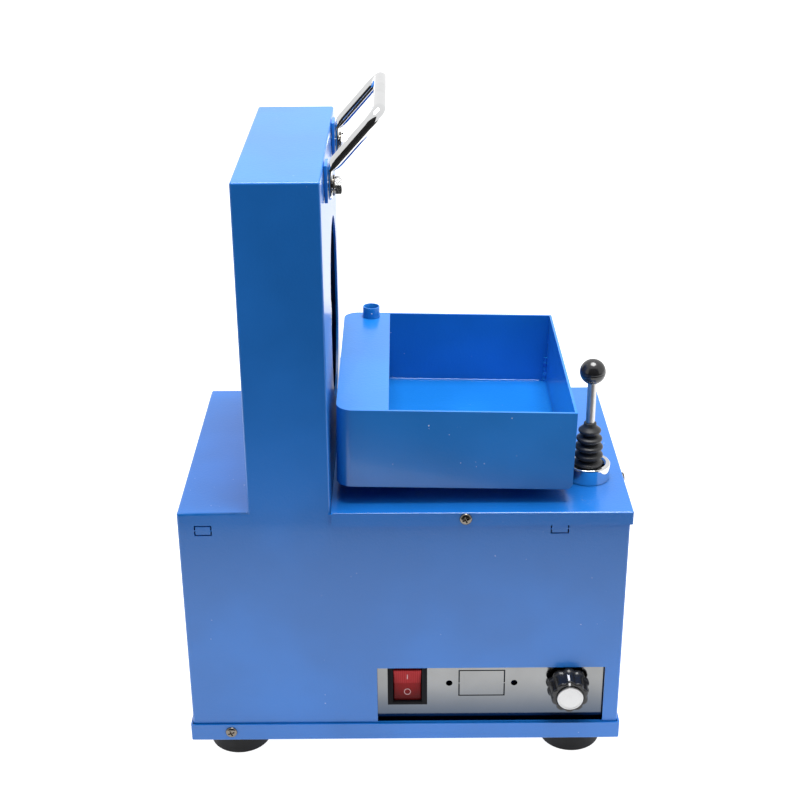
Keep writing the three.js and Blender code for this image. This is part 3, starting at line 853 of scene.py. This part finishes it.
def buildTray(place):
    wide, deep, tall = trayLook["size"]
    wall = trayLook["wall"]
    strip = trayLook["strip"]
    bm = bmesh.new()
    cuboid(bm, (0, 0, 0), (wide, deep, tall))
    ends = [e for e in bm.edges if all(v.co.x < 0.01 for v in e.verts)]
    upright = [e for e in ends if abs(e.verts[0].co.z - e.verts[1].co.z) > 1]
    roundOff(bm, upright, trayLook["leftCorner"], 10)
    low = [e for e in bm.edges if sharp(e, 60) and all(v.co.z < 0.01 for v in e.verts)]
    lowRight = [e for e in low if all(v.co.x > wide - 0.01 for v in e.verts)]
    roundOff(bm, lowRight, trayLook["lowRight"], 6)
    low = [e for e in bm.edges if sharp(e, 60) and all(v.co.z < 0.01 for v in e.verts)]
    roundOff(bm, low, trayLook["lowEnd"], 4)
    lid = [f for f in bm.faces if all(v.co.z > tall - 0.01 for v in f.verts)]
    bmesh.ops.delete(bm, geom=lid, context="FACES_ONLY")
    bmesh.ops.recalc_face_normals(bm, faces=bm.faces)
    bmesh.ops.solidify(bm, geom=list(bm.faces), thickness=wall)
    bmesh.ops.recalc_face_normals(bm, faces=bm.faces)

    top = tall - 0.04
    cuboid(bm, (strip, wall / 2, wall / 2), (strip + wall, deep - wall / 2, tall - wall))
    inside = deep - wall + 0.3
    beadRadius = trayLook["bead"]
    lying = [Vector((strip + 2 + i * 2.2, inside, wall)) for i in range(49)]
    standing = [Vector((wide - wall - 0.2, inside, wall + i * 1.4)) for i in range(14)]
    for line, along, fat in ((lying, Vector((1, 0, 0)), 1.0), (standing, Vector((0, 0, 1)), 2.1)):
        stations = []
        for i, spot in enumerate(line):
            radius = beadRadius * fat * (1 + 0.22 * sin(i * 2.1) + 0.12 * sin(i * 0.7))
            stations.append((spot, along, radius, radius, 2.0))
        ringSweep(bm, stations, 10)
    bmesh.ops.transform(bm, matrix=place, verts=bm.verts)
    make("tray_shell", bm, trayPaintLit, "tray", ["water_tray"], 40)

    bm = bmesh.new()
    cuboid(bm, (0.5, 0.5, tall - wall), (strip + wall, deep - 0.5, top))
    left = [e for e in bm.edges if all(v.co.x < 0.6 for v in e.verts)]
    corners = [e for e in left if abs(e.verts[0].co.z - e.verts[1].co.z) > 1]
    roundOff(bm, corners, trayLook["leftCorner"] - 0.5, 10)
    inward = [e for e in bm.edges if all(v.co.x > strip and v.co.z > top - 0.1 for v in e.verts)]
    roundOff(bm, inward, 0.5, 2)
    drill = bmesh.new()
    hole = Matrix.Translation((*trayLook["spigot"], tall))
    turnedVerts(drill, [(0, -4), (4.9, -4), (4.9, 4), (0, 4)], hole, 40)
    weldOutward(drill)
    bm = cutWith(bm, drill)
    bmesh.ops.transform(bm, matrix=place, verts=bm.verts)
    make("tray_strip", bm, trayPaintLit, "tray", ["water_tray"], 40)

    rise = 7.5
    profile = [(4.8, -1.4), (4.88, 0.1), (6.0, 0.1), (5.95, 0.9), (5.8, 1.6), (5.8, rise - 0.3), (5.6, rise)]
    profile += [(5.0, rise), (4.8, rise - 0.3), (4.8, -1.4)]
    bm = bmesh.new()
    spot = place @ Matrix.Translation((*trayLook["spigot"], tall))
    turnedVerts(bm, profile, spot, 40)
    weldOutward(bm)
    make("spigot_tube", bm, trayPaintLit, "tray", ["tray_spigot"], 40)


buildTray(trayPlace())
print("tray ready")


# carrying handle

handleLook = {
    "rod": 4.0, "flatThick": 1.0, "flatWide": 5.4, "bend": 9.0, "elbow": 369.0,
    "hole": 3.4, "bolt": 5.8, "boltHead": 4.0,
}


def buildHandle():
    low, high = span("handle")
    rod = handleLook["rod"]
    thick = handleLook["flatThick"]
    wide = handleLook["flatWide"]
    bend = handleLook["bend"]
    plateX = low.x + thick
    legs = [centre("handle_bolt_front").y, centre("handle_bolt_rear").y]
    boltZ = centre("handle_bolt_front").z
    grip = Vector((high.x - rod, 0, high.z - rod))
    elbow = Vector((plateX, 0, handleLook["elbow"]))
    rise = (grip - elbow).normalized()
    upward = Vector((0, 0, 1))
    leg = [(Vector((plateX, 0, low.z)), upward, thick, wide * 0.72, 3.0)]
    leg += [(Vector((plateX, 0, low.z + 1.2)), upward, thick, wide * 0.92, 4.0)]
    leg += [(Vector((plateX, 0, low.z + 3.0)), upward, thick, wide, 5.0)]
    leg += [(elbow - upward * 3, upward, thick, wide, 4.5)]
    leg += [(elbow + rise * 0.3, rise + upward, 1.5, wide, 3.4)]
    leg += [(elbow + rise * 1.8, rise, 2.7, 4.8, 2.4)]
    leg += [(elbow + rise * 4.2, rise, 3.8, 4.15, 2.0)]
    leg += [(elbow + rise * 7, rise, rod, rod, 2.0)]
    turnFrom = grip - rise * bend

    def shifted(stations, y):
        return [(p + Vector((0, y, 0)), d, a, b, n) for p, d, a, b, n in stations]

    def turning(y, sign):
        # the rod bends from the sloping leg into the grip
        steps = 10
        rounds = []
        for i in range(steps + 1):
            angle = pi / 2 * i / steps
            spot = turnFrom + rise * bend * sin(angle) + Vector((0, y + sign * bend * (1 - cos(angle)), 0))
            along = rise * cos(angle) + Vector((0, sign, 0)) * sin(angle)
            rounds.append((spot, along, rod, rod, 2.0))
        return rounds

    bm = bmesh.new()
    front = shifted(leg, legs[0]) + turning(legs[0], 1)
    rear = [(p, -d, a, b, n) for p, d, a, b, n in reversed(shifted(leg, legs[1]) + turning(legs[1], -1))]
    ringSweep(bm, front + rear)
    weldOutward(bm)
    for y in legs:
        cutter = bmesh.new()
        drill = handleLook["hole"]
        through = pointing((plateX, y, boltZ), (1, 0, 0))
        turnedVerts(cutter, [(0, -6), (drill, -6), (drill, 6), (0, 6)], through, 24)
        weldOutward(cutter)
        bm = cutWith(bm, cutter)
    make("handle_bar", bm, chromePlate, "frame", ["handle"], 34)


def buildFixings():
    for end in ("front", "rear"):
        low, high = span(f"handle_washer_{end}")
        thick = high.x - low.x
        place = Vector((low.x, (low.y + high.y) / 2, (low.z + high.z) / 2))
        hole = handleLook["hole"]
        profile = [(hole, 0), (6, 0), (6, thick - 0.3), (5.8, thick)]
        profile += [(3.6, thick), (hole, thick - 0.2), (hole, 0)]
        washer = [f"handle_washer_{end}"]
        turnedPiece(f"washer_{end}", profile, place, (1, 0, 0), zincPlate, "frame", washer, 40)

        low, high = span(f"handle_bolt_{end}")
        headTall = handleLook["boltHead"]
        radius = handleLook["bolt"]
        place.x = high.x - headTall
        hexagon = bmesh.new()
        bmesh.ops.create_cone(
            hexagon, cap_ends=True, segments=6, radius1=radius, radius2=radius, depth=headTall,
            matrix=Matrix.Translation((0, 0, headTall / 2)) @ Matrix.Rotation(pi / 12, 4, "Z"),
        )
        cone = bmesh.new()
        chamfer = [(0, -1), (6.2, -1), (6.2, headTall - 0.75), (4.7, headTall), (0, headTall)]
        turnedVerts(cone, chamfer, Matrix.Identity(4), 48)
        weldOutward(cone)
        head = cutWith(hexagon, cone, "INTERSECT")
        bmesh.ops.transform(head, matrix=pointing(place, (1, 0, 0)), verts=head.verts)
        reach = place.x - low.x
        shank = [(0, -reach), (2.6, -reach), (3, -reach + 0.5), (3, 0.2), (0, 0.2)]
        turnedVerts(head, shank, pointing(place, (1, 0, 0)), 32)
        make(f"hex_bolt_{end}", head, chromePlate, "frame", [f"handle_bolt_{end}"], 30)


buildHandle()
buildFixings()
print("handle ready")


# drive and the pieces inside


lapLook = {"bore": 6.3, "edge": 0.3}


def buildLap():
    low, high = span("lap_disc")
    bore = lapLook["bore"]
    edge = lapLook["edge"]
    thick = high.x - low.x
    radius = (high.z - low.z) / 2
    middle = centre("lap_disc")
    profile = [(bore, 0), (radius - edge, 0), (radius, edge), (radius, thick - edge)]
    profile += [(radius - edge, thick), (bore, thick), (bore, 0)]
    place = (low.x, middle.y, middle.z)
    turnedPiece("lap_face", profile, place, (1, 0, 0), lapFinish, "spindle", ["lap_disc"], 96)


buildLap()
inletLook = {"floorDepth": 17.8, "pinsWide": 9, "pinsTall": 6}


def brightenPins(inlet):
    # the three plug pins stand clear of the inlet's walls and of its floor
    middle = centre("mains_inlet")
    floorLevel = span("mains_inlet")[1].y - inletLook["floorDepth"]
    wide = inletLook["pinsWide"]
    tall = inletLook["pinsTall"]
    corners = [fromFrame @ vert.co for vert in inlet.data.vertices]
    inlet.data.materials.append(plainSteel)
    for face in inlet.data.polygons:
        spots = [corners[index] for index in face.vertices]
        beside = all(abs(spot.x - middle.x) < wide and abs(spot.z - middle.z) < tall for spot in spots)
        if beside and all(spot.y > floorLevel for spot in spots):
            face.material_index = 1


slotFinish = {
    "body_paint": bodyPaint, "satin_steel": steelSheet, "chrome": chromePlate, "zinc_steel": plainSteel,
    "cast_iron": ironFinish, "aluminium": turnedAluminium, "black_plastic": blackPlastic,
    "rubber": footRubber, "circuit_board": boardGreen,
}
slotOf = {part["node"]: part["material_slot"] for part in frame["record"]["subparts"]}
for node, item in nodes.items():
    if item.hide_render:
        continue
    inner = cadCopy(node)
    roundAll(inner, 0.2, 2)
    piece = make(node + "_finished", inner, slotFinish[slotOf[node]], item["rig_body"], [node])
    if node == "mains_inlet":
        brightenPins(piece)
print("inside ready")


# stage, light and camera

lightLook = {
    "world": 1.0, "top": 27.0, "topSize": 0.8, "glow": 1.0, "floor": 0.45,
    "dark": 0.02, "darkFrom": -0.38, "darkTo": -2.4,
}


def plane(name, place, size, turn, look):
    bm = bmesh.new()
    grown = Matrix.Diagonal((size[0] / 2, size[1] / 2, 1, 1))
    matrix = Matrix.Translation(place) @ Euler(turn).to_matrix().to_4x4() @ grown
    bmesh.ops.create_grid(bm, x_segments=1, y_segments=1, size=1, matrix=matrix)
    mesh = bpy.data.meshes.new(name)
    bm.to_mesh(mesh)
    bm.free()
    mesh.materials.append(look)
    item = bpy.data.objects.new(name, mesh)
    scene.collection.objects.link(item)
    return item


def stageFinish(name, value, glow):
    look = Finish(name)
    cloud = look.noise(3, 2)
    colour = look.mix(cloud, grey(value), grey(value * 0.99))
    return look.surface(
        Base_Color=colour, Roughness=0.8, Specular_IOR_Level=0.1,
        Emission_Color=grey(1), Emission_Strength=glow,
    )


def areaLight(name, place, aimAt, size, power):
    data = bpy.data.lights.new(name, "AREA")
    data.shape = "DISK"
    data.size = size
    data.energy = power
    lamp = bpy.data.objects.new(name, data)
    lamp.location = place
    lamp.rotation_euler = (Vector(aimAt) - Vector(place)).to_track_quat("-Z", "Y").to_euler()
    scene.collection.objects.link(lamp)


def buildStage():
    pale = stageFinish("pale_floor", lightLook["floor"], lightLook["glow"])
    plane("floor", (0, 0, 0), (9, 9), (0, 0, 0), pale)
    dark = stageFinish("dark_card", lightLook["dark"], 0)
    near = lightLook["darkFrom"]
    far = lightLook["darkTo"]
    lying = plane("lying_card", (0, (near + far) / 2, 0.004), (5, near - far), (0, 0, 0), dark)
    standing = plane("standing_card", (0, far, 1.5), (5, 3), (pi / 2, 0, 0), dark)
    for card in (lying, standing):
        card.visible_camera = False
        card.visible_shadow = False
    world = bpy.data.worlds.new("studio")
    world.use_nodes = True
    back = world.node_tree.nodes["Background"]
    back.inputs["Color"].default_value = (1, 1, 1, 1)
    back.inputs["Strength"].default_value = lightLook["world"]
    scene.world = world
    areaLight("top_light", (0.12, 0.0, 1.5), (0, 0, 0.15), lightLook["topSize"], lightLook["top"])
    scene.view_settings.view_transform = "Standard"


eye = {"place": (137.313, -749.166, 586.037), "yaw": -0.002, "pitch": 0.43, "roll": -0.008, "lens": 63.79}


def buildCamera():
    yaw = eye["yaw"]
    pitch = eye["pitch"]
    forward = Vector((sin(yaw) * cos(pitch), cos(yaw) * cos(pitch), -sin(pitch)))
    right = Vector((cos(yaw), -sin(yaw), 0))
    up = right.cross(forward)
    level = right * cos(eye["roll"]) + up * sin(eye["roll"])
    above = up * cos(eye["roll"]) - right * sin(eye["roll"])
    data = bpy.data.cameras.new("camera")
    data.lens = eye["lens"]
    data.sensor_width = 36
    data.clip_start = 0.01
    camera = bpy.data.objects.new("camera", data)
    turn = Matrix((level, above, -forward)).transposed().to_4x4()
    camera.matrix_world = Matrix.Translation(toFrame @ Vector(eye["place"])) @ turn
    scene.collection.objects.link(camera)
    scene.camera = camera


buildStage()
buildCamera()
print("stage ready")
